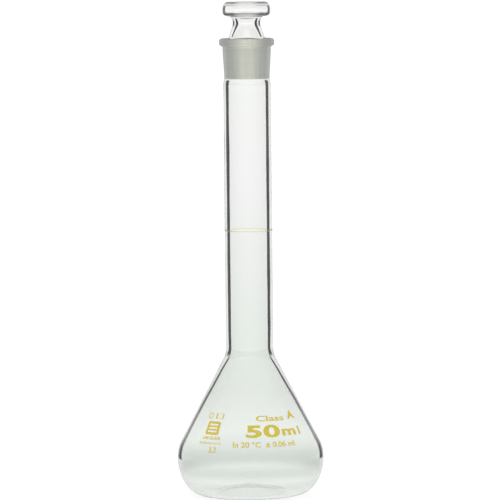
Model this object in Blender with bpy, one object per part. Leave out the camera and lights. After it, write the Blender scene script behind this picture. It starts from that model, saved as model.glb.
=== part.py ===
"""A 50 ml volumetric flask with a hollow ground stopper, in borosilicate glass.

The flask stands at the origin with its axis along +Z. Its bulb, neck and ground socket are one
piece of glass when finished, and each glass section is an object of its own here, with a hairline
seam to the next. The stopper sits in the socket's 1:10 taper and lifts out along +Z. The amber
line and marks are enamel, fired onto the outside.
"""

import math

import bmesh
import bpy
from mathutils import Vector

# Driving dimensions, in metres, radians and cubic metres.
CAPACITY = 50e-6  # what the flask holds, up to the line on its neck
SEAM_GAP = 0.0003  # between glass sections that are fused on the finished flask

# Bulb: a cone with a rounded belly and a pushed-in base.
FOOT_INNER_RADIUS = 0.0139  # the flat ring that it stands on
FOOT_OUTER_RADIUS = 0.0157
PUNT_HEIGHT = 0.0024  # how far the base is pushed in at its centre
BELLY_RADIUS = 0.02425
BELLY_HEIGHT = 0.01265
BELLY_ARC_RADIUS = 0.0118  # rounds the belly into the cone
CONE_HALF_ANGLE = math.radians(27.5)
SHOULDER_RADIUS = 0.0088  # rounds the cone into the neck
BASE_WALL = 0.0013
BELLY_WALL = 0.0009
SHOULDER_WALL = 0.0012

# Neck.
NECK_RADIUS = 0.00785
NECK_WALL = 0.00165

# Ground joint: 13 mm wide at its mouth, 14 mm long, taper 1 in 10 on the diameter.
JOINT_TOP_RADIUS = 0.0065
JOINT_LENGTH = 0.0140
JOINT_TAPER = 0.05  # change of radius with depth
GROUND_CLEARANCE = 0.00012  # between plug and socket, on the radius
SOCKET_SEAM = 0.1350
SOCKET_STEP_HEIGHT = 0.1364  # the straight neck starts to narrow here
SOCKET_FOOT_RADIUS = 0.0075
SOCKET_FOOT_HEIGHT = 0.1382
SOCKET_TAPER_FOOT = 0.1394
SOCKET_TAPER_TOP = 0.1477
SOCKET_RADIUS = 0.0080
RIM_BOTTOM = 0.1486
RIM_CHAMFER = 0.0010  # height of the slope under the rim
RIM_TOP = 0.1516
RIM_RADIUS = 0.0091
RIM_CORNER = 0.0009

# Stopper: a hollow plug, open at its foot, and a flattened hollow head on a narrow waist.
PLUG_WALL = 0.0014
PLUG_FOOT_CORNER = 0.0005
STOPPER_SEAM = 0.1519
FLARE_FOOT_RADIUS = 0.0060  # where the ground plug gives way to the clear flare
FLARE_FILLET = 0.0035
WAIST_RADIUS = 0.0045
WAIST_BORE_RADIUS = 0.0029
WAIST_HEIGHT = 0.1566
UNDERSIDE_FILLET = 0.0015  # blends the waist into the head
HEAD_UNDERSIDE = 0.1589
HEAD_BULGE_HEIGHT = 0.1609  # where the head is widest
HEAD_TOP = 0.1639
HEAD_RADIUS = 0.00805
HEAD_FLAT_RADIUS = 0.0052
HEAD_LOWER_CORNER = 0.0018
HEAD_WALL = 0.0009

# Fired enamel.
ENAMEL_GAP = 0.00005
ENAMEL_THICKNESS = 0.00008
RING_WIDTH = 0.0003
LONGEST_FACET = 0.0013  # of a mark wrapped round the bulb

# Each letter: its text, turn from the front (degrees), height of its foot, width, cap height
# and how much its strokes are thickened (per unit of letter size).
LETTERS = {
    "capacity_digit_5": ("5", -4.2, 0.0212, 0.0055, 0.0044, 0.03),
    "capacity_digit_0": ("0", 12.3, 0.0212, 0.0061, 0.0045, 0.03),
    "capacity_letter_m": ("m", 30.4, 0.0215, 0.0057, 0.0023, 0.03),
    "capacity_letter_l": ("l", 50.0, 0.0215, 0.0009, 0.0028, 0.03),
    "class_letter_a": ("A", 41.5, 0.0266, 0.0034, 0.0028, 0.03),
    "joint_size_digit_1": ("1", -38.2, 0.0269, 0.0006, 0.0020, -0.008),
    "joint_size_digit_3": ("3", -33.4, 0.0269, 0.0016, 0.0020, -0.008),
}
PANEL_TURN = -45.6
PANEL_HEIGHT = 0.0219
PANEL_WIDTH = 0.0055
PANEL_TALL = 0.0047
PANEL_CORNER = 0.0005
PANEL_SLOTS = 3
PANEL_SLOT_PITCH = 0.0012
PANEL_SLOT = (0.0036, 0.0006)

SEGMENTS = 48
ARC_STEP = math.radians(18)


def clear_scene():
    for item in list(bpy.data.objects):
        bpy.data.objects.remove(item, do_unlink=True)


def new_material(name, colour, roughness, transmission):
    material = bpy.data.materials.new(name)
    material.use_nodes = True
    shader = material.node_tree.nodes["Principled BSDF"]
    shader.inputs["Base Color"].default_value = (*colour, 1.0)
    shader.inputs["Metallic"].default_value = 0.0
    shader.inputs["Roughness"].default_value = roughness
    shader.inputs["IOR"].default_value = 1.47
    shader.inputs["Transmission Weight"].default_value = transmission
    return material


def linked(name, data):
    item = bpy.data.objects.new(name, data)
    bpy.context.scene.collection.objects.link(item)
    return item


def finished(name, body, material):
    mesh = bpy.data.meshes.new(name)
    body.to_mesh(mesh)
    body.free()
    mesh.shade_smooth()
    mesh.set_sharp_from_angle(angle=math.radians(40))
    mesh.materials.append(material)
    return linked(name, mesh)


def arc(centre, radii, start, end):
    """Points on an elliptical arc in the (radius, height) plane, both ends included."""
    steps = max(2, math.ceil(abs(end - start) / ARC_STEP))
    angles = [start + (end - start) * i / steps for i in range(steps + 1)]
    return [(centre[0] + radii[0] * math.cos(a), centre[1] + radii[1] * math.sin(a)) for a in angles]


def ease(start, end, steps=3):
    """Points on an S-shaped blend between two points, both ends included."""
    points = []
    for i in range(steps + 1):
        t = i / steps
        blend = t * t * (3 - 2 * t)
        points.append((start[0] + (end[0] - start[0]) * blend, start[1] + (end[1] - start[1]) * t))
    return points


def between(height, low, high, low_value, high_value):
    t = min(max((height - low) / (high - low), 0.0), 1.0)
    return low_value + (high_value - low_value) * t


def inner_wall(outer, wall_at):
    """The outer outline moved in along its normals by the wall's thickness at each height."""
    inner = []
    for i, (radius, height) in enumerate(outer):
        before = outer[max(i - 1, 0)]
        after = outer[min(i + 1, len(outer) - 1)]
        along = Vector((after[0] - before[0], after[1] - before[1])).normalized()
        wall = wall_at(height)
        inner.append((radius - along.y * wall, height + along.x * wall))
    inner[0] = (outer[0][0], inner[0][1])
    inner[-1] = (inner[-1][0], outer[-1][1])
    return inner


def turned(name, outline, material):
    """A solid of revolution round Z. The outline closes on itself, or has both ends on the axis."""
    turns = [2 * math.pi * i / SEGMENTS for i in range(SEGMENTS)]
    body = bmesh.new()
    rings = []
    for radius, height in outline:
        if radius == 0.0:
            rings.append([body.verts.new((0.0, 0.0, height))])
        else:
            rings.append([body.verts.new((radius * math.cos(a), radius * math.sin(a), height)) for a in turns])
    pairs = list(zip(rings, rings[1:]))
    if len(rings[0]) > 1:
        pairs.append((rings[-1], rings[0]))
    for lower, upper in pairs:
        for i in range(SEGMENTS):
            j = (i + 1) % SEGMENTS
            corners = [lower[i % len(lower)], lower[j % len(lower)]]
            corners += [upper[j % len(upper)], upper[i % len(upper)]]
            body.faces.new(dict.fromkeys(corners))
    bmesh.ops.recalc_face_normals(body, faces=body.faces)
    return finished(name, body, material)


def cone_foot():
    """The point where the belly's arc runs into the straight cone."""
    return (
        BELLY_RADIUS - BELLY_ARC_RADIUS * (1 - math.cos(CONE_HALF_ANGLE)),
        BELLY_HEIGHT + BELLY_ARC_RADIUS * math.sin(CONE_HALF_ANGLE),
    )


def cone_top_height():
    """The height at which the straight cone starts to round into the neck."""
    foot_radius, foot_height = cone_foot()
    top_radius = NECK_RADIUS + SHOULDER_RADIUS * (1 - math.cos(CONE_HALF_ANGLE))
    return foot_height + (foot_radius - top_radius) / math.tan(CONE_HALF_ANGLE)


def shoulder_height():
    """The height at which the shoulder has become the straight neck."""
    return cone_top_height() + SHOULDER_RADIUS * math.sin(CONE_HALF_ANGLE)


def bulb_outer():
    """The bulb's outer outline, from the axis under its base up to its seam with the neck."""
    punt_steps = 6
    points = []
    for i in range(punt_steps + 1):
        t = i / punt_steps
        points.append((FOOT_INNER_RADIUS * t, PUNT_HEIGHT * (1 - t * t) ** 2))
    corner = (BELLY_RADIUS - FOOT_OUTER_RADIUS, BELLY_HEIGHT)
    points += arc((FOOT_OUTER_RADIUS, BELLY_HEIGHT), corner, -math.pi / 2, 0.0)
    belly_centre = (BELLY_RADIUS - BELLY_ARC_RADIUS, BELLY_HEIGHT)
    points += arc(belly_centre, (BELLY_ARC_RADIUS, BELLY_ARC_RADIUS), 0.0, CONE_HALF_ANGLE)[1:]
    shoulder_centre = (NECK_RADIUS + SHOULDER_RADIUS, shoulder_height())
    shoulder_start = math.pi + CONE_HALF_ANGLE
    points += arc(shoulder_centre, (SHOULDER_RADIUS, SHOULDER_RADIUS), shoulder_start, math.pi)
    return points


def bulb_wall(height):
    if height < BELLY_HEIGHT:
        return between(height, 0.0, BELLY_HEIGHT, BASE_WALL, BELLY_WALL)
    if height < cone_top_height():
        return between(height, BELLY_HEIGHT, cone_top_height(), BELLY_WALL, SHOULDER_WALL)
    return between(height, cone_top_height(), shoulder_height(), SHOULDER_WALL, NECK_WALL)


def neck_bore():
    return NECK_RADIUS - NECK_WALL


def capacity_line_height():
    """The height at which the inside, filled from its base, holds the flask's capacity."""
    held = 0.0
    inside = inner_wall(bulb_outer(), bulb_wall)
    for (r0, z0), (r1, z1) in zip(inside, inside[1:]):
        held += math.pi * (r0 * r0 + r0 * r1 + r1 * r1) / 3 * (z1 - z0)
    return shoulder_height() + (CAPACITY - held) / (math.pi * neck_bore() ** 2)


def ground_radius(height):
    """The socket's ground taper."""
    return JOINT_TOP_RADIUS - (RIM_TOP - height) * JOINT_TAPER


def build_bulb(material):
    outer = bulb_outer()
    return turned("bulb", outer + inner_wall(outer, bulb_wall)[::-1], material)


def build_neck(material):
    foot = shoulder_height() + SEAM_GAP
    top = SOCKET_SEAM - SEAM_GAP
    bore = neck_bore()
    return turned("neck_tube", [(NECK_RADIUS, foot), (NECK_RADIUS, top), (bore, top), (bore, foot)], material)


def build_socket(material):
    ground_foot = RIM_TOP - JOINT_LENGTH
    outer = [(NECK_RADIUS, SOCKET_SEAM)]
    outer += ease((NECK_RADIUS, SOCKET_STEP_HEIGHT), (SOCKET_FOOT_RADIUS, SOCKET_FOOT_HEIGHT))
    outer += [
        (SOCKET_FOOT_RADIUS, SOCKET_TAPER_FOOT),
        (SOCKET_RADIUS, SOCKET_TAPER_TOP),
        (SOCKET_RADIUS, RIM_BOTTOM),
        (RIM_RADIUS, RIM_BOTTOM + RIM_CHAMFER),
    ]
    corner = (RIM_CORNER, RIM_CORNER)
    outer += arc((RIM_RADIUS - RIM_CORNER, RIM_TOP - RIM_CORNER), corner, 0.0, math.pi / 2)
    inner = [(ground_radius(RIM_TOP), RIM_TOP), (ground_radius(ground_foot), ground_foot)]
    inner += ease((ground_radius(ground_foot), ground_foot - 0.0004), (neck_bore(), SOCKET_SEAM))
    return turned("ground_socket", outer + inner, material)


def build_plug(material):
    foot = RIM_TOP - JOINT_LENGTH
    top = STOPPER_SEAM - SEAM_GAP
    foot_radius = ground_radius(foot) - GROUND_CLEARANCE
    top_radius = ground_radius(top) - GROUND_CLEARANCE
    outer = [
        (foot_radius - PLUG_FOOT_CORNER, foot),
        (foot_radius, foot + PLUG_FOOT_CORNER),
        (top_radius, top),
    ]
    inner = [(FLARE_FOOT_RADIUS - PLUG_WALL, top), (foot_radius - PLUG_WALL, foot)]
    return turned("stopper_plug", outer + inner, material)


def flare(foot_radius, waist_radius):
    """The straight taper in from the plug's width, and the bend that stands it upright at the
    waist."""
    rise = WAIST_HEIGHT - STOPPER_SEAM
    side = FLARE_FILLET - (foot_radius - waist_radius)
    turn = math.atan2(rise, side) - math.acos(FLARE_FILLET / math.hypot(side, rise))
    centre = (waist_radius + FLARE_FILLET, WAIST_HEIGHT)
    return [(foot_radius, STOPPER_SEAM)] + arc(centre, (FLARE_FILLET, FLARE_FILLET), math.pi + turn, math.pi)


def head_outer():
    """The head's outer outline, from its seam with the plug up to the axis."""
    points = flare(FLARE_FOOT_RADIUS, WAIST_RADIUS)
    fillet_centre = (WAIST_RADIUS + UNDERSIDE_FILLET, WAIST_HEIGHT)
    fillet = (UNDERSIDE_FILLET, HEAD_UNDERSIDE - WAIST_HEIGHT)
    points += arc(fillet_centre, fillet, math.pi, math.pi / 2)[1:]
    lower_centre = (HEAD_RADIUS - HEAD_LOWER_CORNER, HEAD_BULGE_HEIGHT)
    lower = (HEAD_LOWER_CORNER, HEAD_BULGE_HEIGHT - HEAD_UNDERSIDE)
    points += arc(lower_centre, lower, -math.pi / 2, 0.0)
    upper = (HEAD_RADIUS - HEAD_FLAT_RADIUS, HEAD_TOP - HEAD_BULGE_HEIGHT)
    points += arc((HEAD_FLAT_RADIUS, HEAD_BULGE_HEIGHT), upper, 0.0, math.pi / 2)[1:]
    return points + [(0.0, HEAD_TOP)]


def head_inner():
    """The inside of the waist and head, from the seam up to the axis."""
    floor = HEAD_UNDERSIDE + HEAD_WALL
    side = HEAD_RADIUS - HEAD_WALL
    roof = HEAD_TOP - HEAD_WALL
    points = flare(FLARE_FOOT_RADIUS - PLUG_WALL, WAIST_BORE_RADIUS)
    points.append((WAIST_BORE_RADIUS, floor - UNDERSIDE_FILLET / 2))
    points.append((WAIST_BORE_RADIUS + UNDERSIDE_FILLET, floor))
    lower_centre = (side - HEAD_LOWER_CORNER / 2, HEAD_BULGE_HEIGHT)
    lower = (HEAD_LOWER_CORNER / 2, HEAD_BULGE_HEIGHT - floor)
    points += arc(lower_centre, lower, -math.pi / 2, 0.0)
    upper = (side - HEAD_FLAT_RADIUS, roof - HEAD_BULGE_HEIGHT)
    points += arc((HEAD_FLAT_RADIUS, HEAD_BULGE_HEIGHT), upper, 0.0, math.pi / 2)[1:]
    return points + [(0.0, roof)]


def build_head(material):
    return turned("stopper_head", head_inner()[::-1] + head_outer(), material)


def build_ring(material):
    near = NECK_RADIUS + ENAMEL_GAP
    far = near + ENAMEL_THICKNESS
    low = capacity_line_height() - RING_WIDTH / 2
    high = low + RING_WIDTH
    return turned("graduation_ring", [(far, low), (far, high), (near, high), (near, low)], material)


def plate_of(curve, width=None, tall=None):
    """The curve as a thin flat plate in a bmesh, its lower left corner at the origin, stretched
    to this width and height where they are given."""
    curve.extrude = ENAMEL_THICKNESS / 2
    outline = linked(curve.name, curve)
    graph = bpy.context.evaluated_depsgraph_get()
    mesh = bpy.data.meshes.new_from_object(outline.evaluated_get(graph))
    bpy.data.objects.remove(outline, do_unlink=True)
    body = bmesh.new()
    body.from_mesh(mesh)
    bpy.data.meshes.remove(mesh)
    left = min(vertex.co.x for vertex in body.verts)
    right = max(vertex.co.x for vertex in body.verts)
    foot = min(vertex.co.y for vertex in body.verts)
    head = max(vertex.co.y for vertex in body.verts)
    wide = width / (right - left) if width else 1.0
    high = tall / (head - foot) if tall else 1.0
    for vertex in body.verts:
        vertex.co.x = (vertex.co.x - left) * wide
        vertex.co.y = (vertex.co.y - foot) * high
    bmesh.ops.remove_doubles(body, verts=body.verts, dist=2e-6)
    return body


def wrapped(name, body, turn, height, material):
    """Wraps a flat plate round the cone. The plate's X runs round the bulb and its Y up the slope,
    and its origin lands at this turn from the front (-Y) and this height."""
    width = max(vertex.co.x for vertex in body.verts)
    slices = math.ceil(width / LONGEST_FACET)
    for i in range(1, slices):
        everything = body.verts[:] + body.edges[:] + body.faces[:]
        cut = (width * i / slices, 0.0, 0.0)
        bmesh.ops.bisect_plane(body, geom=everything, plane_co=cut, plane_no=(1.0, 0.0, 0.0))
    foot_radius, foot_height = cone_foot()
    reach = foot_radius - (height - foot_height) * math.tan(CONE_HALF_ANGLE)
    lift = ENAMEL_GAP + ENAMEL_THICKNESS / 2
    for vertex in body.verts:
        along, up, out = vertex.co
        out += lift
        angle = math.radians(turn) + along / reach
        radius = reach - up * math.sin(CONE_HALF_ANGLE) + out * math.cos(CONE_HALF_ANGLE)
        level = height + up * math.cos(CONE_HALF_ANGLE) + out * math.sin(CONE_HALF_ANGLE)
        vertex.co = (radius * math.sin(angle), -radius * math.cos(angle), level)
    bmesh.ops.triangulate(body, faces=body.faces)
    bmesh.ops.recalc_face_normals(body, faces=body.faces)
    return finished(name, body, material)


def build_letter(name, material):
    text, turn, height, width, tall, thickened = LETTERS[name]
    curve = bpy.data.curves.new(name, "FONT")
    curve.body = text
    curve.resolution_u = 4
    curve.offset = thickened
    return wrapped(name, plate_of(curve, width, tall), turn, height, material)


def closed_line(curve, points):
    line = curve.splines.new("POLY")
    line.points.add(len(points) - 1)
    for point, (x, y) in zip(line.points, points):
        point.co = (x, y, 0.0, 1.0)
    line.use_cyclic_u = True


def build_panel(material):
    """A plain panel with rounded corners and a row of level slots in it."""
    curve = bpy.data.curves.new("plain_panel", "CURVE")
    curve.dimensions = "2D"
    curve.fill_mode = "BOTH"
    quarters = ((1, 1), (-1, 1), (-1, -1), (1, -1))
    across = PANEL_WIDTH / 2 - PANEL_CORNER
    up = PANEL_TALL / 2 - PANEL_CORNER
    corner = (PANEL_CORNER, PANEL_CORNER)
    edge = []
    for i, (x, y) in enumerate(quarters):
        edge += arc((x * across, y * up), corner, math.pi / 2 * i, math.pi / 2 * (i + 1))
    closed_line(curve, edge)
    wide, tall = PANEL_SLOT
    for i in range(PANEL_SLOTS):
        level = PANEL_SLOT_PITCH * (i - (PANEL_SLOTS - 1) / 2)
        closed_line(curve, [(x * wide / 2, level + y * tall / 2) for x, y in quarters])
    return wrapped("plain_panel", plate_of(curve), PANEL_TURN, PANEL_HEIGHT, material)


clear_scene()
CLEAR_GLASS = new_material("clear_glass", (0.90, 0.94, 0.91), 0.02, 1.0)
GROUND_GLASS = new_material("ground_glass", (0.86, 0.88, 0.84), 0.55, 1.0)
ENAMEL = new_material("amber_enamel", (0.66, 0.45, 0.03), 0.35, 0.0)

build_bulb(CLEAR_GLASS)
build_neck(CLEAR_GLASS)
build_socket(GROUND_GLASS)
build_plug(GROUND_GLASS)
build_head(CLEAR_GLASS)
build_ring(ENAMEL)
for letter in LETTERS:
    build_letter(letter, ENAMEL)
build_panel(ENAMEL)
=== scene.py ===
import math

import bmesh
import bpy
from mathutils import Matrix, Vector, noise


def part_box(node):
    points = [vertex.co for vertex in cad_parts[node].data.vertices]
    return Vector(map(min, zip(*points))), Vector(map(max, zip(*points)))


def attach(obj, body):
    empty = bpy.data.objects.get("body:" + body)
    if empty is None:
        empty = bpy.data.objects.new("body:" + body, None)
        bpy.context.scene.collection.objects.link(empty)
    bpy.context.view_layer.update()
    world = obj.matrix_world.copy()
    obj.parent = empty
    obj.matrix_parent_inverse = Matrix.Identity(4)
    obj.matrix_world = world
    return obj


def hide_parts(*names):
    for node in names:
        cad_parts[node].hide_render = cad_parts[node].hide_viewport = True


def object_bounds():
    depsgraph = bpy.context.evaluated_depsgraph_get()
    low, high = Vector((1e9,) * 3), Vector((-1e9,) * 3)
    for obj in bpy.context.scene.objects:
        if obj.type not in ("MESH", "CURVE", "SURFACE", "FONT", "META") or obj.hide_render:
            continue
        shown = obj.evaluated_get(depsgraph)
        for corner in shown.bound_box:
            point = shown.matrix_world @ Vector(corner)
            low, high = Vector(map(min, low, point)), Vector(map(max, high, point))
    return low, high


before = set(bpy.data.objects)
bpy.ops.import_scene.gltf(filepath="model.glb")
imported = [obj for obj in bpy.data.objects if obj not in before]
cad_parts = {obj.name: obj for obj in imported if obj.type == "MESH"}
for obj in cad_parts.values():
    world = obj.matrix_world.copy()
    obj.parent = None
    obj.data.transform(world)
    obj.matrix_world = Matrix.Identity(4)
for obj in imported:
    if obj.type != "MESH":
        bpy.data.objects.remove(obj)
cad_low, cad_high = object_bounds()

# The frame's own sizes, in metres: the corner of each part's box that the outlines start from.
BULB_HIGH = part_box("bulb")[1]
SOCKET_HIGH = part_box("ground_socket")[1]
PLUG_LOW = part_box("stopper_plug")[0]
HEAD_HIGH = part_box("stopper_head")[1]
RING_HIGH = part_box("graduation_ring")[1]

SEGMENTS = 192
ARC_STEP = math.radians(4)
FINE_STEP = 0.001
GLASS_IOR = 1.473
GLASS_RIPPLE = 0.00002  # how far drawn glass wanders from round

# Bulb and neck.
BELLY_RADIUS = BULB_HIGH.x
BELLY_HEIGHT = 0.01265
BELLY_ARC_RADIUS = 0.0118
CONE_HALF_ANGLE = math.radians(27.5)
SHOULDER_RADIUS = 0.0088
FOOT_INNER_RADIUS = 0.0139
FOOT_OUTER_RADIUS = 0.0157
PUNT_HEIGHT = 0.0024
PUNT_STEPS = 20
SHOULDER_TOP = BULB_HIGH.z
BASE_WALL = 0.0009
BELLY_WALL = 0.0009
SHOULDER_WALL = 0.0012
NECK_WALL = 0.00165
RING_PROUD = 0.00013  # how far the ring stands out from the neck
NECK_RADIUS = RING_HIGH.x - RING_PROUD
NECK_BORE = NECK_RADIUS - NECK_WALL

# Ground joint.
RIM_TOP = SOCKET_HIGH.z
RIM_BOTTOM = RIM_TOP - 0.0030
RIM_CHAMFER = 0.0010
RIM_RADIUS = SOCKET_HIGH.x
RIM_CORNER = 0.0009
SOCKET_STEP_HEIGHT = RIM_TOP - 0.0152  # the straight neck starts to narrow here
SOCKET_FOOT_RADIUS = 0.0075
SOCKET_TAPER_FOOT = RIM_TOP - 0.0122
SOCKET_TAPER_TOP = RIM_TOP - 0.0039
SOCKET_RADIUS = 0.0080
JOINT_TOP_RADIUS = 0.0065
JOINT_TAPER = 0.05
LIP_RADIUS = 0.0004
JOINT_FOOT = PLUG_LOW.z
FROST_FOOT = JOINT_FOOT + 0.0007
BORE_TOP = FROST_FOOT - 0.0022

# Stopper.
PLUG_CLEARANCE = 0.00003
PLUG_WALL = 0.0014
PLUG_FOOT = JOINT_FOOT + 0.0008
HOLLOW_FOOT = PLUG_FOOT + 0.0006
STOPPER_SEAM = RIM_TOP - 0.0010
FLARE_BORE_RADIUS = 0.0049
FLARE_FILLET = 0.0035
HEAD_TOP = HEAD_HIGH.z
HEAD_RADIUS = HEAD_HIGH.x
WAIST_RADIUS = 0.0045
WAIST_BORE_RADIUS = 0.0029
WAIST_HEIGHT = RIM_TOP + 0.0050
UNDERSIDE_FILLET = 0.0015
HEAD_UNDERSIDE = RIM_TOP + 0.0073
HEAD_BULGE_HEIGHT = RIM_TOP + 0.0093
HEAD_DOME_RADIUS = 0.0060
HEAD_DOME = 0.0002
HEAD_LOWER_CORNER = 0.0018
HEAD_WALL = 0.0009

# The stretches of a turned outline, in the order of its piece's materials.
CLEAR, WALL, GROUND, FROSTED = 0, 1, 2, 3


# ---------------------------------------------------------------- outlines

def arc(centre, radii, start, end):
    """Points on an elliptical arc in the (radius, height) plane, both ends included."""
    steps = max(3, math.ceil(abs(end - start) / ARC_STEP))
    angles = [start + (end - start) * i / steps for i in range(steps + 1)]
    return [(centre[0] + radii[0] * math.cos(a), centre[1] + radii[1] * math.sin(a)) for a in angles]


def ease(start, end, steps=12):
    """Points on an S-shaped blend between two points, both ends included."""
    points = []
    for i in range(steps + 1):
        t = i / steps
        blend = t * t * (3 - 2 * t)
        points.append((start[0] + (end[0] - start[0]) * blend, start[1] + (end[1] - start[1]) * t))
    return points


def straight(start, end, step=0.002):
    """Points along a straight line, both ends included."""
    steps = max(1, round(math.dist(start, end) / step))
    return [tuple(a + (b - a) * i / steps for a, b in zip(start, end)) for i in range(steps + 1)]


def between(height, low, high, low_value, high_value):
    t = min(max((height - low) / (high - low), 0.0), 1.0)
    t = t * t * (3 - 2 * t)
    return low_value + (high_value - low_value) * t


def inner_wall(outer, wall_at):
    """The outer outline moved in along its normals by the wall's thickness at each height."""
    inner = []
    for i, (radius, height) in enumerate(outer):
        before = outer[max(i - 1, 0)]
        after = outer[min(i + 1, len(outer) - 1)]
        along = Vector((after[0] - before[0], after[1] - before[1])).normalized()
        wall = wall_at(height)
        inner.append((radius - along.y * wall, height + along.x * wall))
    inner[0] = (outer[0][0], inner[0][1])
    return inner


def joined(*runs):
    """Runs of points end to end, without the points that repeat."""
    points = []
    for run in runs:
        for point in run:
            if not points or math.dist(points[-1], point) > 1e-6:
                points.append(point)
    return points


def cone_foot():
    return (
        BELLY_RADIUS - BELLY_ARC_RADIUS * (1 - math.cos(CONE_HALF_ANGLE)),
        BELLY_HEIGHT + BELLY_ARC_RADIUS * math.sin(CONE_HALF_ANGLE),
    )


def cone_top():
    return (
        NECK_RADIUS + SHOULDER_RADIUS * (1 - math.cos(CONE_HALF_ANGLE)),
        SHOULDER_TOP - SHOULDER_RADIUS * math.sin(CONE_HALF_ANGLE),
    )


def bulb_outer():
    """The bulb's outside, from the axis under its base up to the foot of the neck."""
    punt = []
    for i in range(PUNT_STEPS + 1):
        t = i / PUNT_STEPS
        punt.append((FOOT_INNER_RADIUS * t, PUNT_HEIGHT * (1 - t * t) ** 2))
    corner = (BELLY_RADIUS - FOOT_OUTER_RADIUS, BELLY_HEIGHT)
    low = arc((FOOT_OUTER_RADIUS, BELLY_HEIGHT), corner, -math.pi / 2, 0.0)
    belly_radii = (BELLY_ARC_RADIUS, BELLY_ARC_RADIUS)
    belly = arc((BELLY_RADIUS - BELLY_ARC_RADIUS, BELLY_HEIGHT), belly_radii, 0.0, CONE_HALF_ANGLE)
    cone = straight(cone_foot(), cone_top())
    shoulder_radii = (SHOULDER_RADIUS, SHOULDER_RADIUS)
    shoulder_centre = (NECK_RADIUS + SHOULDER_RADIUS, SHOULDER_TOP)
    shoulder = arc(shoulder_centre, shoulder_radii, math.pi + CONE_HALF_ANGLE, math.pi)
    return joined(punt, low, belly, cone, shoulder)


def bulb_wall(height):
    top = cone_top()[1]
    if height < BELLY_HEIGHT:
        return between(height, 0.0, BELLY_HEIGHT, BASE_WALL, BELLY_WALL)
    if height < top:
        return between(height, BELLY_HEIGHT, top, BELLY_WALL, SHOULDER_WALL)
    return between(height, top, SHOULDER_TOP, SHOULDER_WALL, NECK_WALL)


def ground_radius(height):
    return JOINT_TOP_RADIUS - (RIM_TOP - height) * JOINT_TAPER


# ---------------------------------------------------------------- meshes

def turned(name, outline, zones):
    """A solid of revolution with both ends of its outline on the axis, a little out of round.
    zones gives each stretch's material."""
    body = bmesh.new()
    rings = []
    for radius, height in outline:
        if radius < 1e-7:
            rings.append([body.verts.new((0.0, 0.0, height))])
            continue
        ring = []
        for i in range(SEGMENTS):
            a = 2 * math.pi * i / SEGMENTS
            spot = Vector((math.cos(a) * 2.0, math.sin(a) * 2.0, height * 120.0))
            reach = radius + GLASS_RIPPLE * noise.noise(spot)
            ring.append(body.verts.new((reach * math.cos(a), reach * math.sin(a), height)))
        rings.append(ring)
    for lower, upper, zone in zip(rings, rings[1:], zones):
        for i in range(SEGMENTS):
            j = (i + 1) % SEGMENTS
            corners = [lower[i % len(lower)], lower[j % len(lower)]]
            corners += [upper[j % len(upper)], upper[i % len(upper)]]
            face = body.faces.new(dict.fromkeys(corners))
            face.material_index = zone
            face.smooth = True
    bmesh.ops.recalc_face_normals(body, faces=body.faces)
    mesh = bpy.data.meshes.new(name)
    body.to_mesh(mesh)
    body.free()
    piece = bpy.data.objects.new(name, mesh)
    bpy.context.scene.collection.objects.link(piece)
    return piece


def zoned(*runs):
    """Joins (points, zone) runs into one outline with a zone for each stretch."""
    outline = []
    zones = []
    for points, zone in runs:
        for point in points:
            if outline and math.dist(outline[-1], point) < 1e-6:
                continue
            if outline:
                zones.append(zone)
            outline.append(point)
    return outline, zones


def flask_outline():
    outer = bulb_outer()
    inner = inner_wall(outer, bulb_wall)
    neck = straight((NECK_RADIUS, SHOULDER_TOP), (NECK_RADIUS, SOCKET_STEP_HEIGHT))
    neck += ease((NECK_RADIUS, SOCKET_STEP_HEIGHT), (SOCKET_FOOT_RADIUS, FROST_FOOT))
    socket = straight((SOCKET_FOOT_RADIUS, FROST_FOOT), (SOCKET_FOOT_RADIUS, SOCKET_TAPER_FOOT))
    socket += straight((SOCKET_FOOT_RADIUS, SOCKET_TAPER_FOOT), (SOCKET_RADIUS, SOCKET_TAPER_TOP))
    socket += straight((SOCKET_RADIUS, SOCKET_TAPER_TOP), (SOCKET_RADIUS, RIM_BOTTOM))
    chamfer = ease((SOCKET_RADIUS, RIM_BOTTOM), (RIM_RADIUS, RIM_BOTTOM + RIM_CHAMFER))
    corner = (RIM_CORNER, RIM_CORNER)
    centre = (RIM_RADIUS - RIM_CORNER, RIM_TOP - RIM_CORNER)
    rim = joined(chamfer, arc(centre, corner, 0.0, math.pi / 2))
    mouth = ground_radius(RIM_TOP)
    lip_centre = (mouth + LIP_RADIUS, RIM_TOP - LIP_RADIUS)
    lip = arc(lip_centre, (LIP_RADIUS, LIP_RADIUS), math.pi / 2, math.pi)
    foot = ground_radius(FROST_FOOT)
    ground = straight((mouth, RIM_TOP - LIP_RADIUS), (foot, FROST_FOOT), FINE_STEP)
    step = ease((foot, FROST_FOOT), (NECK_BORE, BORE_TOP))
    bore = straight((NECK_BORE, BORE_TOP), (NECK_BORE, SHOULDER_TOP))
    return zoned(
        (outer, CLEAR),
        (neck, CLEAR),
        (joined(socket, rim, lip), FROSTED),
        (ground, GROUND),
        (step, WALL),
        (bore, WALL),
        (inner[::-1], WALL),
    )


def flare(foot_radius, waist_radius):
    """The straight taper in from the plug's width, and the bend that stands it upright at the
    waist."""
    rise = WAIST_HEIGHT - STOPPER_SEAM
    side = FLARE_FILLET - (foot_radius - waist_radius)
    turn = math.atan2(rise, side) - math.acos(FLARE_FILLET / math.hypot(side, rise))
    radii = (FLARE_FILLET, FLARE_FILLET)
    bend = arc((waist_radius + FLARE_FILLET, WAIST_HEIGHT), radii, math.pi + turn, math.pi)
    return joined(straight((foot_radius, STOPPER_SEAM), bend[0], FINE_STEP), bend)


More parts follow.
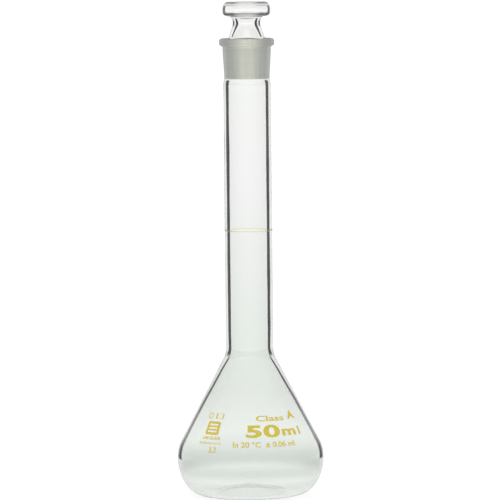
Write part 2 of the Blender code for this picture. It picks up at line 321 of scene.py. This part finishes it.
def head_top(side, roof):
    """The head's upper corner, and its slightly domed top in to the axis."""
    upper = (side - HEAD_DOME_RADIUS, roof - HEAD_DOME - HEAD_BULGE_HEIGHT)
    corner = arc((HEAD_DOME_RADIUS, HEAD_BULGE_HEIGHT), upper, 0.0, math.pi / 2)
    shares = [1 - i / 8 for i in range(9)]
    return corner + [(HEAD_DOME_RADIUS * t, roof - HEAD_DOME * t * t) for t in shares]


def head_outer():
    fillet_centre = (WAIST_RADIUS + UNDERSIDE_FILLET, WAIST_HEIGHT)
    fillet = (UNDERSIDE_FILLET, HEAD_UNDERSIDE - WAIST_HEIGHT)
    lower_centre = (HEAD_RADIUS - HEAD_LOWER_CORNER, HEAD_BULGE_HEIGHT)
    lower = (HEAD_LOWER_CORNER, HEAD_BULGE_HEIGHT - HEAD_UNDERSIDE)
    return joined(
        flare(ground_radius(STOPPER_SEAM) - PLUG_CLEARANCE, WAIST_RADIUS),
        arc(fillet_centre, fillet, math.pi, math.pi / 2),
        arc(lower_centre, lower, -math.pi / 2, 0.0),
        head_top(HEAD_RADIUS, HEAD_TOP),
    )


def head_inner():
    floor = HEAD_UNDERSIDE + HEAD_WALL
    side = HEAD_RADIUS - HEAD_WALL
    fillet = (UNDERSIDE_FILLET, floor - WAIST_HEIGHT)
    lower_centre = (side - HEAD_LOWER_CORNER / 2, HEAD_BULGE_HEIGHT)
    lower = (HEAD_LOWER_CORNER / 2, HEAD_BULGE_HEIGHT - floor)
    return joined(
        flare(FLARE_BORE_RADIUS, WAIST_BORE_RADIUS),
        arc((WAIST_BORE_RADIUS + UNDERSIDE_FILLET, WAIST_HEIGHT), fillet, math.pi, math.pi / 2),
        arc(lower_centre, lower, -math.pi / 2, 0.0),
        head_top(side, HEAD_TOP - HEAD_WALL),
    )


def stopper_outline():
    foot_radius = ground_radius(PLUG_FOOT) - PLUG_CLEARANCE
    top_radius = ground_radius(STOPPER_SEAM) - PLUG_CLEARANCE
    hollow_top = (FLARE_BORE_RADIUS, STOPPER_SEAM)
    hollow = straight(hollow_top, (foot_radius - PLUG_WALL, HOLLOW_FOOT), FINE_STEP)
    turn = PLUG_WALL / 2
    foot = arc((foot_radius - turn, PLUG_FOOT + turn), (turn, turn), -math.pi, 0.0)
    ground = straight((foot_radius, PLUG_FOOT + turn), (top_radius, STOPPER_SEAM), FINE_STEP)
    return zoned(
        (head_inner()[::-1], WALL),
        (hollow, WALL),
        (foot, GROUND),
        (ground, GROUND),
        (head_outer(), CLEAR),
    )


# ---------------------------------------------------------------- materials

# A colour Mix node's two inputs and its output, which share their names with its other kinds.
MIX_A, MIX_B, MIX_RESULT = 6, 7, 2


def material(name):
    made = bpy.data.materials.new(name)
    made.use_nodes = True
    return made, made.node_tree


def node(tree, kind, **values):
    made = tree.nodes.new(kind)
    for key, value in values.items():
        setattr(made, key, value)
    return made


def ramp(tree, source, stops):
    made = node(tree, "ShaderNodeValToRGB")
    line = made.color_ramp
    line.elements[0].position, line.elements[0].color = stops[0][0], (*stops[0][1], 1.0)
    line.elements[1].position, line.elements[1].color = stops[-1][0], (*stops[-1][1], 1.0)
    for position, colour in stops[1:-1]:
        line.elements.new(position).color = (*colour, 1.0)
    tree.links.new(source, made.inputs["Fac"])
    return made.outputs["Color"]


def risen(tree, low, high):
    """How far up the object a point is, from 0 at one height to 1 at another."""
    place = node(tree, "ShaderNodeTexCoord")
    split = node(tree, "ShaderNodeSeparateXYZ")
    tree.links.new(place.outputs["Object"], split.inputs["Vector"])
    scaled = node(tree, "ShaderNodeMapRange")
    scaled.inputs["From Min"].default_value = low
    scaled.inputs["From Max"].default_value = high
    tree.links.new(split.outputs["Z"], scaled.inputs["Value"])
    return scaled.outputs["Result"]


def grey(value):
    return (value, value, value)


def by_height(tree, *stops):
    """A value or a colour that changes with height. Each stop is a height and what it is there."""
    low, high = stops[0][0], stops[-1][0]
    colours = []
    for height, value in stops:
        colour = grey(value) if isinstance(value, float) else value
        colours.append(((height - low) / (high - low), colour))
    return ramp(tree, risen(tree, low, high), colours)


def edge_on(tree, normal=None):
    """0 where the surface is seen square on, rising to 1 where it is seen edge on."""
    weight = node(tree, "ShaderNodeLayerWeight")
    weight.inputs["Blend"].default_value = 0.5
    if normal:
        tree.links.new(normal, weight.inputs["Normal"])
    return weight.outputs["Facing"]


def outward(tree):
    """Straight out from the axis, as a plain cylinder's surface would face."""
    place = node(tree, "ShaderNodeTexCoord")
    level = node(tree, "ShaderNodeVectorMath", operation="MULTIPLY")
    level.inputs[1].default_value = (1.0, 1.0, 0.0)
    unit = node(tree, "ShaderNodeVectorMath", operation="NORMALIZE")
    tree.links.new(place.outputs["Object"], level.inputs[0])
    tree.links.new(level.outputs[0], unit.inputs[0])
    return unit.outputs[0]


def maths(tree, operation, first, second):
    made = node(tree, "ShaderNodeMath", operation=operation)
    for source, socket in zip((first, second), made.inputs):
        if isinstance(source, float):
            socket.default_value = source
        else:
            tree.links.new(source, socket)
    return made.outputs[0]


def noise_value(tree, scale, detail, stretch=(1.0, 1.0, 1.0)):
    place = node(tree, "ShaderNodeTexCoord")
    stretched = node(tree, "ShaderNodeMapping")
    stretched.inputs["Scale"].default_value = stretch
    clouds = node(tree, "ShaderNodeTexNoise")
    clouds.inputs["Scale"].default_value = scale
    clouds.inputs["Detail"].default_value = detail
    tree.links.new(place.outputs["Object"], stretched.inputs["Vector"])
    tree.links.new(stretched.outputs["Vector"], clouds.inputs["Vector"])
    return clouds.outputs["Fac"]


def bumped(tree, height, distance):
    bump = node(tree, "ShaderNodeBump")
    bump.inputs["Distance"].default_value = distance
    tree.links.new(height, bump.inputs["Height"])
    return bump.outputs["Normal"]


def tint_and_painted_shade(tree):
    """Faint green-grey, deeper in the bulb: partly the tint of drawn glass, partly painted shade
    that changes up the height.
    """
    return by_height(
        tree,
        (0.0000, (0.885, 0.918, 0.882)),
        (0.0020, (0.885, 0.913, 0.882)),
        (0.0036, (0.890, 0.915, 0.888)),
        (0.0064, (0.975, 0.993, 0.973)),
        (0.0084, (0.790, 0.820, 0.790)),
        (0.0098, (0.740, 0.772, 0.742)),
        (0.0115, (0.760, 0.788, 0.760)),
        (0.0138, (0.785, 0.811, 0.785)),
        (0.0187, (0.902, 0.924, 0.896)),
        (0.034, (0.863, 0.888, 0.861)),
        (0.048, (0.862, 0.890, 0.862)),
        (0.053, (0.860, 0.886, 0.860)),
        (0.067, (0.880, 0.896, 0.880)),
        (0.105, (0.914, 0.917, 0.914)),
        (0.132, (0.917, 0.924, 0.914)),
        (0.156, (0.955, 0.962, 0.950)),
        (0.161, (0.955, 0.955, 0.945)),
    )


def times(tree, colour, factor):
    mixed = node(tree, "ShaderNodeMix", data_type="RGBA", blend_type="MULTIPLY")
    mixed.inputs["Factor"].default_value = 1.0
    tree.links.new(colour, mixed.inputs[MIX_A])
    tree.links.new(factor, mixed.inputs[MIX_B])
    return mixed.outputs[MIX_RESULT]


def glass(name, shade_colour, shade, *edge_darkening):
    """Clear glass with a colour mixed in, for painted shade and painted highlights; shade(tree) says
    where, from 0 to 1. The height stops say how much the glass is darkened where it is seen edge
    on: partly its own absorption, partly painted shade."""
    made, tree = material(name)
    shader = tree.nodes["Principled BSDF"]
    shader.inputs["Roughness"].default_value = 0.0
    shader.inputs["IOR"].default_value = GLASS_IOR
    shader.inputs["Transmission Weight"].default_value = 1.0
    absorbed_and_shaded = maths(tree, "MULTIPLY", edge_on(tree), by_height(tree, *edge_darkening))
    let_by = maths(tree, "SUBTRACT", 1.0, absorbed_and_shaded)
    tree.links.new(times(tree, tint_and_painted_shade(tree), let_by), shader.inputs["Base Color"])
    waves = noise_value(tree, 180.0, 2.0)
    tree.links.new(bumped(tree, waves, 0.00001), shader.inputs["Normal"])
    dark = node(tree, "ShaderNodeBsdfDiffuse")
    if callable(shade_colour):
        tree.links.new(shade_colour(tree), dark.inputs["Color"])
    else:
        dark.inputs["Color"].default_value = (*shade_colour, 1.0)
    mix = node(tree, "ShaderNodeMixShader")
    tree.links.new(shade(tree), mix.inputs["Fac"])
    tree.links.new(shader.outputs[0], mix.inputs[1])
    tree.links.new(dark.outputs[0], mix.inputs[2])
    tree.links.new(mix.outputs[0], tree.nodes["Material Output"].inputs["Surface"])
    return made


def strongest(tree, values):
    """The greatest of several values."""
    top = values[0]
    for value in values[1:]:
        top = maths(tree, "MAXIMUM", top, value)
    return top


def edge_line(tree, seen_from, seen_to, strength):
    """A painted line where the outside turns away: none up to the first angle, full from the second.
    """
    edge = ramp(tree, edge_on(tree), [(seen_from, grey(0.0)), (seen_to, grey(1.0))])
    return maths(tree, "MULTIPLY", edge, strength)


def seen_through_glass(tree):
    """1 where the surface is seen from inside the glass, 0 where it is seen from the air."""
    return node(tree, "ShaderNodeNewGeometry").outputs["Backfacing"]


def seen_outside(tree):
    return maths(tree, "SUBTRACT", 1.0, seen_through_glass(tree))


def flask_outline_shade(tree):
    """Painted shade: a faint outline, and a strong line beside the widest part of the bulb."""
    strength = by_height(
        tree,
        (0.0, 0.5),
        (BELLY_HEIGHT - 0.0003, 0.7),
        (BELLY_HEIGHT + 0.0001, 0.12),
        (0.0500, 0.10),
    )
    belly = by_height(
        tree,
        (BELLY_HEIGHT - 0.0002, 0.0),
        (BELLY_HEIGHT + 0.0001, 1.0),
        (0.0165, 0.8),
        (0.0205, 0.2),
        (0.0240, 0.0),
    )
    near_edge = (
        (0.66, 0.0),
        (0.70, 0.7),
        (0.72, 1.0),
        (0.77, 1.0),
        (0.81, 0.6),
        (0.87, 0.25),
        (1.0, 0.2),
    )
    band = ramp(tree, edge_on(tree), [(seen, grey(value)) for seen, value in near_edge])
    beside = maths(tree, "MULTIPLY", maths(tree, "MULTIPLY", band, belly), seen_outside(tree))
    skirt = by_height(
        tree,
        (0.0, 0.2),
        (BELLY_HEIGHT - 0.0003, 0.3),
        (BELLY_HEIGHT + 0.0001, 0.0),
    )
    low_edge = edge_line(tree, 0.5, 0.75, skirt)
    return strongest(tree, [edge_line(tree, 0.66, 0.86, strength), low_edge, beside])


def flask_shade_colour(tree):
    """The painted shade's colour: pale green-grey below the widest part of the bulb, and nearly
    black above it.
    """
    return by_height(
        tree,
        (0.0, (0.66, 0.70, 0.66)),
        (BELLY_HEIGHT - 0.0002, (0.62, 0.66, 0.62)),
        (BELLY_HEIGHT, (0.05, 0.053, 0.048)),
    )


def wall_line(tree, centre, reach, strength):
    """A painted dark line, painted shade standing in for where the inner wall, seen through the
    glass, turns the light away. It lies where the wall is seen at an angle of centre, give or take
    reach."""
    off = maths(tree, "ABSOLUTE", maths(tree, "SUBTRACT", edge_on(tree), centre), 0.0)
    line = ramp(tree, maths(tree, "DIVIDE", off, reach), [(0.78, grey(1.0)), (1.0, grey(0.0))])
    line = maths(tree, "MULTIPLY", line, strength)
    return maths(tree, "MULTIPLY", line, seen_through_glass(tree))


def flask_line(tree):
    """The painted dark line inside the cone and the neck, broken where they meet."""
    break_height = cone_top()[1] + 0.0010
    centre = by_height(
        tree,
        (BELLY_HEIGHT, 0.272),
        (0.020, 0.269),
        (0.032, 0.275),
        (0.042, 0.262),
        (break_height - 0.0004, 0.245),
        (break_height + 0.0004, 0.293),
        (0.055, 0.308),
        (0.130, 0.311),
    )
    reach = by_height(
        tree,
        (BELLY_HEIGHT, 0.020),
        (0.018, 0.016),
        (0.022, 0.013),
        (0.034, 0.016),
        (break_height - 0.0004, 0.018),
        (break_height + 0.0004, 0.055),
        (0.130, 0.062),
    )
    strength = by_height(
        tree,
        (BELLY_HEIGHT - 0.0004, 0.0),
        (BELLY_HEIGHT + 0.0002, 0.4),
        (0.0170, 0.5),
        (0.0220, 0.85),
        (0.0300, 1.0),
        (break_height - 0.0010, 1.0),
        (break_height, 0.4),
        (break_height + 0.0010, 1.0),
        (FROST_FOOT - 0.0008, 1.0),
        (FROST_FOOT - 0.0004, 0.0),
    )
    return wall_line(tree, centre, reach, strength)


def stopper_line(tree):
    """The painted dark line inside the waist, and the short painted arcs inside the head's sides."""
    centre = by_height(
        tree,
        (RIM_TOP, 0.330),
        (WAIST_HEIGHT - 0.0020, 0.320),
        (WAIST_HEIGHT, 0.322),
        (HEAD_UNDERSIDE, 0.322),
        (HEAD_BULGE_HEIGHT, 0.290),
    )
    reach = by_height(
        tree,
        (RIM_TOP, 0.038),
        (RIM_TOP + 0.0020, 0.055),
        (WAIST_HEIGHT, 0.115),
        (HEAD_UNDERSIDE, 0.060),
        (HEAD_BULGE_HEIGHT, 0.034),
    )
    strength = by_height(
        tree,
        (RIM_TOP, 0.0),
        (RIM_TOP + 0.0003, 0.9),
        (HEAD_UNDERSIDE - 0.0003, 1.0),
        (HEAD_UNDERSIDE + 0.0002, 0.0),
        (HEAD_BULGE_HEIGHT - 0.0014, 0.0),
        (HEAD_BULGE_HEIGHT - 0.0011, 1.0),
        (HEAD_BULGE_HEIGHT + 0.0010, 1.0),
        (HEAD_BULGE_HEIGHT + 0.0014, 0.2),
        (HEAD_BULGE_HEIGHT + 0.0020, 0.0),
    )
    return wall_line(tree, centre, reach, strength)


def stopper_shade_and_highlight(tree):
    """Where the stopper is painted: short strokes of painted shade beside the waist, and the painted
    lines under and over the head's edge.
    """
    beside = by_height(
        tree,
        (WAIST_HEIGHT - 0.0012, 0.0),
        (WAIST_HEIGHT - 0.0006, 0.9),
        (WAIST_HEIGHT + 0.0006, 0.9),
        (WAIST_HEIGHT + 0.0011, 0.0),
    )
    lines = by_height(
        tree,
        (HEAD_UNDERSIDE - 0.0001, 0.0),
        (HEAD_UNDERSIDE, 0.9),
        (HEAD_UNDERSIDE + 0.0011, 0.9),
        (HEAD_UNDERSIDE + 0.0014, 0.0),
        (HEAD_TOP - 0.0017, 0.0),
        (HEAD_TOP - 0.0014, 0.85),
        (HEAD_TOP - 0.0004, 0.85),
        (HEAD_TOP - 0.0001, 0.0),
    )
    lines = maths(tree, "MULTIPLY", lines, seen_outside(tree))
    beside = edge_line(tree, 0.46, 0.58, beside)
    return strongest(tree, [beside, lines, edge_line(tree, 0.64, 0.84, 0.08)])


def stopper_highlight_and_shade_colour(tree):
    """The painted lines round the head's edge are painted highlights, pale in front, and painted
    shade, dark to the sides.
    """
    front = by_height(
        tree,
        (HEAD_UNDERSIDE - 0.0001, 0.08),
        (HEAD_UNDERSIDE, 0.88),
        (HEAD_UNDERSIDE + 0.0005, 0.72),
        (HEAD_UNDERSIDE + 0.0008, 0.50),
        (HEAD_UNDERSIDE + 0.0011, 0.38),
        (HEAD_UNDERSIDE + 0.0014, 0.60),
        (HEAD_UNDERSIDE + 0.0015, 0.08),
        (HEAD_TOP - 0.0018, 0.08),
        (HEAD_TOP - 0.0017, 0.88),
        (HEAD_TOP - 0.0009, 0.74),
        (HEAD_TOP - 0.0005, 0.90),
        (HEAD_TOP - 0.0001, 0.50),
    )
    side = by_height(
        tree,
        (HEAD_UNDERSIDE - 0.0001, 0.08),
        (HEAD_UNDERSIDE, 0.60),
        (HEAD_UNDERSIDE + 0.0004, 0.30),
        (HEAD_UNDERSIDE + 0.0007, 0.07),
        (HEAD_UNDERSIDE + 0.0010, 0.14),
        (HEAD_UNDERSIDE + 0.0014, 0.60),
        (HEAD_UNDERSIDE + 0.0015, 0.08),
        (HEAD_TOP - 0.0018, 0.08),
        (HEAD_TOP - 0.0017, 0.75),
        (HEAD_TOP - 0.0014, 0.42),
        (HEAD_TOP - 0.0010, 0.72),
        (HEAD_TOP - 0.0006, 0.28),
        (HEAD_TOP - 0.0003, 0.24),
        (HEAD_TOP - 0.0001, 0.40),
    )
    sides = ramp(tree, edge_on(tree, outward(tree)), [(0.02, grey(0.0)), (0.2, grey(1.0))])
    mixed = node(tree, "ShaderNodeMix", data_type="RGBA")
    tree.links.new(sides, mixed.inputs["Factor"])
    tree.links.new(front, mixed.inputs[MIX_A])
    tree.links.new(side, mixed.inputs[MIX_B])
    return mixed.outputs[MIX_RESULT]


# The ground glass's colour, with painted shade that darkens its sides, from where it is seen
# square on to where it is seen edge on.
FROSTED_PAINTED_SHADE = (
    (0.01, (0.715, 0.73, 0.635)),
    (0.065, (0.61, 0.625, 0.55)),
    (0.165, (0.50, 0.515, 0.46)),
    (0.34, (0.435, 0.452, 0.425)),
    (0.48, (0.455, 0.47, 0.44)),
    (0.65, (0.53, 0.54, 0.52)),
    (0.85, (0.46, 0.47, 0.45)),
)


def frosted(name, see_through):
    """Ground glass: a fine white grain that scatters the light, a little translucent. Its sides are
    darkened by painted shade, and lines at the foot, under the rim and on the rim's top are
    lightened by painted light.
    """
    made, tree = material(name)
    shader = tree.nodes["Principled BSDF"]
    shader.inputs["IOR"].default_value = GLASS_IOR
    shader.inputs["Roughness"].default_value = 0.6
    shader.inputs["Transmission Weight"].default_value = see_through
    grain = noise_value(tree, 4000.0, 3.0)
    streaks = noise_value(tree, 900.0, 2.0, (1.0, 1.0, 0.03))
    lathe = noise_value(tree, 1600.0, 2.0, (0.02, 0.02, 1.0))
    body = ramp(tree, edge_on(tree, outward(tree)), FROSTED_PAINTED_SHADE)
    for source, depth in ((grain, 0.10), (streaks, 0.10), (lathe, 0.05)):
        body = times(tree, body, ramp(tree, source, [(0.3, grey(1.0 - depth)), (0.7, grey(1.0))]))
    # Painted light: lighter lines at the frost's foot, under the rim and on the rim's top.
    painted_light_lines = by_height(
        tree,
        (FROST_FOOT - 0.0001, 1.40),
        (FROST_FOOT, 1.02),
        (FROST_FOOT + 0.0010, 0.97),
        (FROST_FOOT + 0.0018, 1.0),
        (RIM_BOTTOM - 0.0004, 1.0),
        (RIM_BOTTOM + 0.0001, 1.20),
        (RIM_BOTTOM + 0.0009, 1.20),
        (RIM_BOTTOM + 0.0012, 1.06),
        (RIM_TOP - 0.0006, 1.10),
        (RIM_TOP - 0.0001, 1.15),
    )
    # Painted shade: the rim darker towards its sides.
    rim = by_height(tree, (RIM_BOTTOM - 0.0002, 0.0), (RIM_BOTTOM + 0.0003, 1.0))
    turned_away = ramp(tree, edge_on(tree, outward(tree)), [(0.0, grey(0.0)), (0.26, grey(0.20))])
    painted_side_shade = maths(tree, "MULTIPLY", rim, turned_away)
    painted_light_lines = times(tree, painted_light_lines, maths(tree, "SUBTRACT", 1.0, painted_side_shade))
    tree.links.new(times(tree, body, painted_light_lines), shader.inputs["Base Color"])
    tree.links.new(bumped(tree, grain, 0.00002), shader.inputs["Normal"])
    return made


def amber_stain():
    made, tree = material("amber_stain")
    shader = tree.nodes["Principled BSDF"]
    shader.inputs["Roughness"].default_value = 0.25
    shader.inputs["IOR"].default_value = GLASS_IOR
    shader.inputs["Transmission Weight"].default_value = 1.0
    clouds = noise_value(tree, 900.0, 3.0)
    colour = ramp(tree, clouds, [(0.3, (0.90, 0.87, 0.52)), (0.7, (0.95, 0.93, 0.66))])
    tree.links.new(colour, shader.inputs["Base Color"])
    return made


def enamel(name, glow):
    """Amber enamel. The glow stands for the light that comes to its back through the glass."""
    made, tree = material(name)
    shader = tree.nodes["Principled BSDF"]
    shader.inputs["Roughness"].default_value = 0.35
    shader.inputs["Emission Color"].default_value = (0.62, 0.50, 0.055, 1.0)
    shader.inputs["Emission Strength"].default_value = glow
    clouds = noise_value(tree, 1500.0, 4.0)
    colour = ramp(tree, clouds, [(0.3, (0.57, 0.46, 0.040)), (0.7, (0.66, 0.54, 0.065))])
    tree.links.new(colour, shader.inputs["Base Color"])
    return made


# ---------------------------------------------------------------- marks

ENAMEL_GAP = 0.000012
ENAMEL_THICKNESS = 0.00003
ENAMEL_BACK_SLOT = 1
LONGEST_FACET = 0.0004
PANEL_CORNER = 0.11  # of the panel's width
PANEL_SLOTS = 3
PANEL_SLOT_PITCH = 0.255
PANEL_SLOT = (0.66, 0.128)


def flat_shape(curve):
    """The filled curve as a flat plate, one unit thick."""
    curve.extrude = 0.5
    shape = bpy.data.objects.new(curve.name, curve)
    bpy.context.scene.collection.objects.link(shape)
    evaluated = shape.evaluated_get(bpy.context.evaluated_depsgraph_get())
    mesh = bpy.data.meshes.new_from_object(evaluated)
    bpy.data.objects.remove(shape, do_unlink=True)
    return mesh


def letters(text, thickened):
    curve = bpy.data.curves.new("letters", "FONT")
    curve.body = text
    curve.resolution_u = 8
    curve.offset = thickened
    return flat_shape(curve)


def closed_line(curve, points):
    line = curve.splines.new("POLY")
    line.points.add(len(points) - 1)
    for point, (x, y) in zip(line.points, points):
        point.co = (x, y, 0.0, 1.0)
    line.use_cyclic_u = True


def panel():
    """A plain square with rounded corners and level slots in it, one above another."""
    curve = bpy.data.curves.new("panel", "CURVE")
    curve.dimensions = "2D"
    curve.fill_mode = "BOTH"
    quarters = ((1, 1), (-1, 1), (-1, -1), (1, -1))
    reach = 0.5 - PANEL_CORNER
    corner = (PANEL_CORNER, PANEL_CORNER)
    edge = []
    for i, (x, y) in enumerate(quarters):
        edge += arc((x * reach, y * reach), corner, math.pi / 2 * i, math.pi / 2 * (i + 1))
    closed_line(curve, edge)
    wide, tall = PANEL_SLOT
    for i in range(PANEL_SLOTS):
        level = PANEL_SLOT_PITCH * (i - (PANEL_SLOTS - 1) / 2)
        closed_line(curve, [(x * wide / 2, level + y * tall / 2) for x, y in quarters])
    return flat_shape(curve)


def up_the_slope(way):
    """The bulb's outside at a way up its slope from the cone's foot: radius, height and tilt."""
    foot_radius, foot_height = cone_foot()
    if way >= 0.0:
        tilt = CONE_HALF_ANGLE
        return foot_radius - way * math.sin(tilt), foot_height + way * math.cos(tilt), tilt
    tilt = CONE_HALF_ANGLE + way / BELLY_ARC_RADIUS
    radius = BELLY_RADIUS - BELLY_ARC_RADIUS * (1 - math.cos(tilt))
    return radius, BELLY_HEIGHT + BELLY_ARC_RADIUS * math.sin(tilt), tilt


def wrapped(body, turn, height, width, tall):
    """Stretches the flat shape in a bmesh to this size and wraps it round the bulb, its lower left
    corner at this turn from the front (-Y), in degrees, and this height."""
    left = min(v.co.x for v in body.verts)
    right = max(v.co.x for v in body.verts)
    foot = min(v.co.y for v in body.verts)
    head = max(v.co.y for v in body.verts)
    bmesh.ops.remove_doubles(body, verts=body.verts, dist=(right - left) * 1e-4)
    slices = math.ceil(width / LONGEST_FACET)
    for i in range(1, slices):
        everything = body.verts[:] + body.edges[:] + body.faces[:]
        cut = (left + (right - left) * i / slices, 0.0, 0.0)
        bmesh.ops.bisect_plane(body, geom=everything, plane_co=cut, plane_no=(1.0, 0.0, 0.0))
    start = (height - cone_foot()[1]) / math.cos(CONE_HALF_ANGLE)
    reach = up_the_slope(start)[0]
    for v in body.verts:
        along = (v.co.x - left) / (right - left) * width
        up = (v.co.y - foot) / (head - foot) * tall
        out = ENAMEL_GAP + (0.5 + v.co.z) * ENAMEL_THICKNESS
        angle = math.radians(turn) + along / reach
        radius, level, tilt = up_the_slope(start + up)
        radius += out * math.cos(tilt)
        v.co = (radius * math.sin(angle), -radius * math.cos(angle), level + out * math.sin(tilt))


def mark(name, parts, replaced):
    """One piece of enamel. Each part is its shape, turn, height, width and tallness. The faces
    that lie against the glass take the back's material."""
    whole = bmesh.new()
    for shape, turn, height, width, tall in parts:
        body = bmesh.new()
        body.from_mesh(shape)
        wrapped(body, turn, height, width, tall)
        mesh = bpy.data.meshes.new("part")
        body.to_mesh(mesh)
        body.free()
        whole.from_mesh(mesh)
    bmesh.ops.recalc_face_normals(whole, faces=whole.faces)
    mesh = bpy.data.meshes.new(name)
    whole.to_mesh(mesh)
    whole.free()
    mesh.materials.append(ENAMEL)
    mesh.materials.append(ENAMEL_BACK)
    for face in mesh.polygons:
        out = Vector((face.center.x, face.center.y, 0.0)).normalized()
        if face.normal.dot(out) < -0.5:
            face.material_index = ENAMEL_BACK_SLOT
    piece = bpy.data.objects.new(name, mesh)
    bpy.context.scene.collection.objects.link(piece)
    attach(piece, "flask")
    if replaced:
        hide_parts(*replaced)


# ---------------------------------------------------------------- the parts

# The grey of the painted dark lines, painted shade inside the glass.
PAINTED_LINE_GREY = (0.045, 0.048, 0.043)
# How much the glass is darkened at each height where it is seen edge on: partly its own absorption,
# partly painted shade.
PLAIN = ((0.0, 0.0), (1.0, 0.0))
FLASK_EDGE_DARKENING = (
    (0.0025, 0.0),
    (0.0050, 0.34),
    (BELLY_HEIGHT, 0.34),
    (BELLY_HEIGHT + 0.0006, 0.10),
    (0.022, 0.15),
    (0.034, 0.40),
    (0.130, 0.46),
)
HEAD_EDGE_DARKENING = (
    (JOINT_FOOT, 0.0),
    (RIM_TOP, 0.16),
    (WAIST_HEIGHT, 0.28),
    (HEAD_UNDERSIDE, 0.24),
)
CLEAR_GLASS = glass("clear_glass", flask_shade_colour, flask_outline_shade, *FLASK_EDGE_DARKENING)
WALL_GLASS = glass("inner_wall_glass", PAINTED_LINE_GREY, flask_line, *PLAIN)
STOPPER_GLASS = glass("stopper_glass", stopper_highlight_and_shade_colour, stopper_shade_and_highlight, *HEAD_EDGE_DARKENING)
STOPPER_WALL = glass("stopper_wall_glass", PAINTED_LINE_GREY, stopper_line, *PLAIN)
FROSTED_GLASS = frosted("frosted_glass", 0.15)
GROUND_GLASS = frosted("ground_glass", 0.5)
ENAMEL = enamel("amber_enamel", 0.0)
ENAMEL_BACK = enamel("amber_enamel_back", 0.7)

# The finishes go on in the order of CLEAR, WALL, GROUND and FROSTED.
flask = turned("flask_glass", *flask_outline())
for finish in (CLEAR_GLASS, WALL_GLASS, GROUND_GLASS, FROSTED_GLASS):
    flask.data.materials.append(finish)
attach(flask, "flask")
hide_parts("bulb", "neck_tube", "ground_socket")

stopper = turned("stopper_glass", *stopper_outline())
for finish in (STOPPER_GLASS, STOPPER_WALL, FROSTED_GLASS):
    stopper.data.materials.append(finish)
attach(stopper, "stopper")
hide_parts("stopper_plug", "stopper_head")

mark(
    "capacity_mark",
    [
        (letters("5", 0.035), -4.3, 0.0212, 0.0055, 0.0044),
        (letters("0", 0.035), 12.0, 0.0212, 0.0061, 0.0045),
        (letters("m", 0.034), 30.4, 0.0215, 0.0057, 0.0024),
        (letters("l", 0.06), 49.4, 0.0215, 0.0009, 0.0030),
    ],
    ["capacity_digit_5", "capacity_digit_0", "capacity_letter_m", "capacity_letter_l"],
)
mark(
    "class_mark",
    [
        (letters("Class", 0.02), 5.7, 0.0263, 0.0100, 0.0020),
        (letters("A", 0.05), 41.5, 0.0266, 0.0034, 0.0028),
    ],
    ["class_letter_a"],
)
mark(
    "joint_size_mark",
    [
        (letters("\u00d8", -0.008), -49.0, 0.0268, 0.0021, 0.0021),
        (letters("1", -0.008), -38.2, 0.0269, 0.0006, 0.0020),
        (letters("3", -0.008), -33.4, 0.0269, 0.0016, 0.0020),
    ],
    ["joint_size_digit_1", "joint_size_digit_3"],
)
mark("panel_mark", [(panel(), -45.6, 0.0219, 0.0055, 0.0047)], ["plain_panel"])
TOLERANCE = "In 20 \u00b0C  \u00b1 0.06 ml"
mark("tolerance_mark", [(letters(TOLERANCE, 0.022), -15.0, 0.0182, 0.0219, 0.0020)], [])
mark(
    "glass_mark",
    [
        (letters("LAB GLASS", 0.035), -46.5, 0.0204, 0.0071, 0.0011),
        (letters("BOROSILICATE", 0.01), -48.4, 0.0189, 0.0088, 0.0008),
        (letters("3.3", 0.02), -36.2, 0.0163, 0.0028, 0.0020),
    ],
    [],
)

# The line round the neck is a translucent amber stain.
ring = bpy.data.objects["graduation_ring"]
ring.data.materials.clear()
ring.data.materials.append(amber_stain())

# ---------------------------------------------------------------- stage, light and camera

FLOOR_REACH = 12.0
FLOOR_DROP = 0.00005  # under the base, so that the two faces don't coincide
FLOOR_ALBEDO = 0.12
FLOOR_GLOW = 0.885
LENS = 330.0
SENSOR_WIDTH = 36.0
EYE = Vector((0.0, -1.515, 0.202))
TARGET = Vector((0.00045, 0.0, 0.0814))
ROLL = math.radians(-0.56)


def stage():
    floor = bpy.data.meshes.new("floor")
    reach = FLOOR_REACH
    corners = [(-reach, -reach, 0), (reach, -reach, 0), (reach, reach, 0), (-reach, reach, 0)]
    floor.from_pydata(corners, [], [(0, 1, 2, 3)])
    item = bpy.data.objects.new("floor", floor)
    bpy.context.scene.collection.objects.link(item)
    item.location.z = cad_low.z - FLOOR_DROP
    finish, tree = material("pale_floor")
    shader = tree.nodes["Principled BSDF"]
    shader.inputs["Base Color"].default_value = (*grey(FLOOR_ALBEDO), 1.0)
    shader.inputs["Roughness"].default_value = 0.9
    shader.inputs["Emission Color"].default_value = (1.0, 1.0, 1.0, 1.0)
    shader.inputs["Emission Strength"].default_value = FLOOR_GLOW
    floor.materials.append(finish)


def light():
    world = bpy.data.worlds.new("studio")
    world.use_nodes = True
    surround = world.node_tree.nodes["Background"]
    surround.inputs["Color"].default_value = (1.0, 1.0, 1.0, 1.0)
    surround.inputs["Strength"].default_value = 1.0
    bpy.context.scene.world = world
    bpy.context.scene.view_settings.view_transform = "Standard"


def camera():
    data = bpy.data.cameras.new("camera")
    data.lens = LENS
    data.sensor_width = SENSOR_WIDTH
    item = bpy.data.objects.new("camera", data)
    bpy.context.scene.collection.objects.link(item)
    aim = (TARGET - EYE).normalized().to_track_quat("-Z", "Y").to_matrix()
    turn = aim @ Matrix.Rotation(ROLL, 3, "Z")
    item.matrix_world = Matrix.Translation(EYE) @ turn.to_4x4()
    bpy.context.scene.camera = item


stage()
light()
camera()
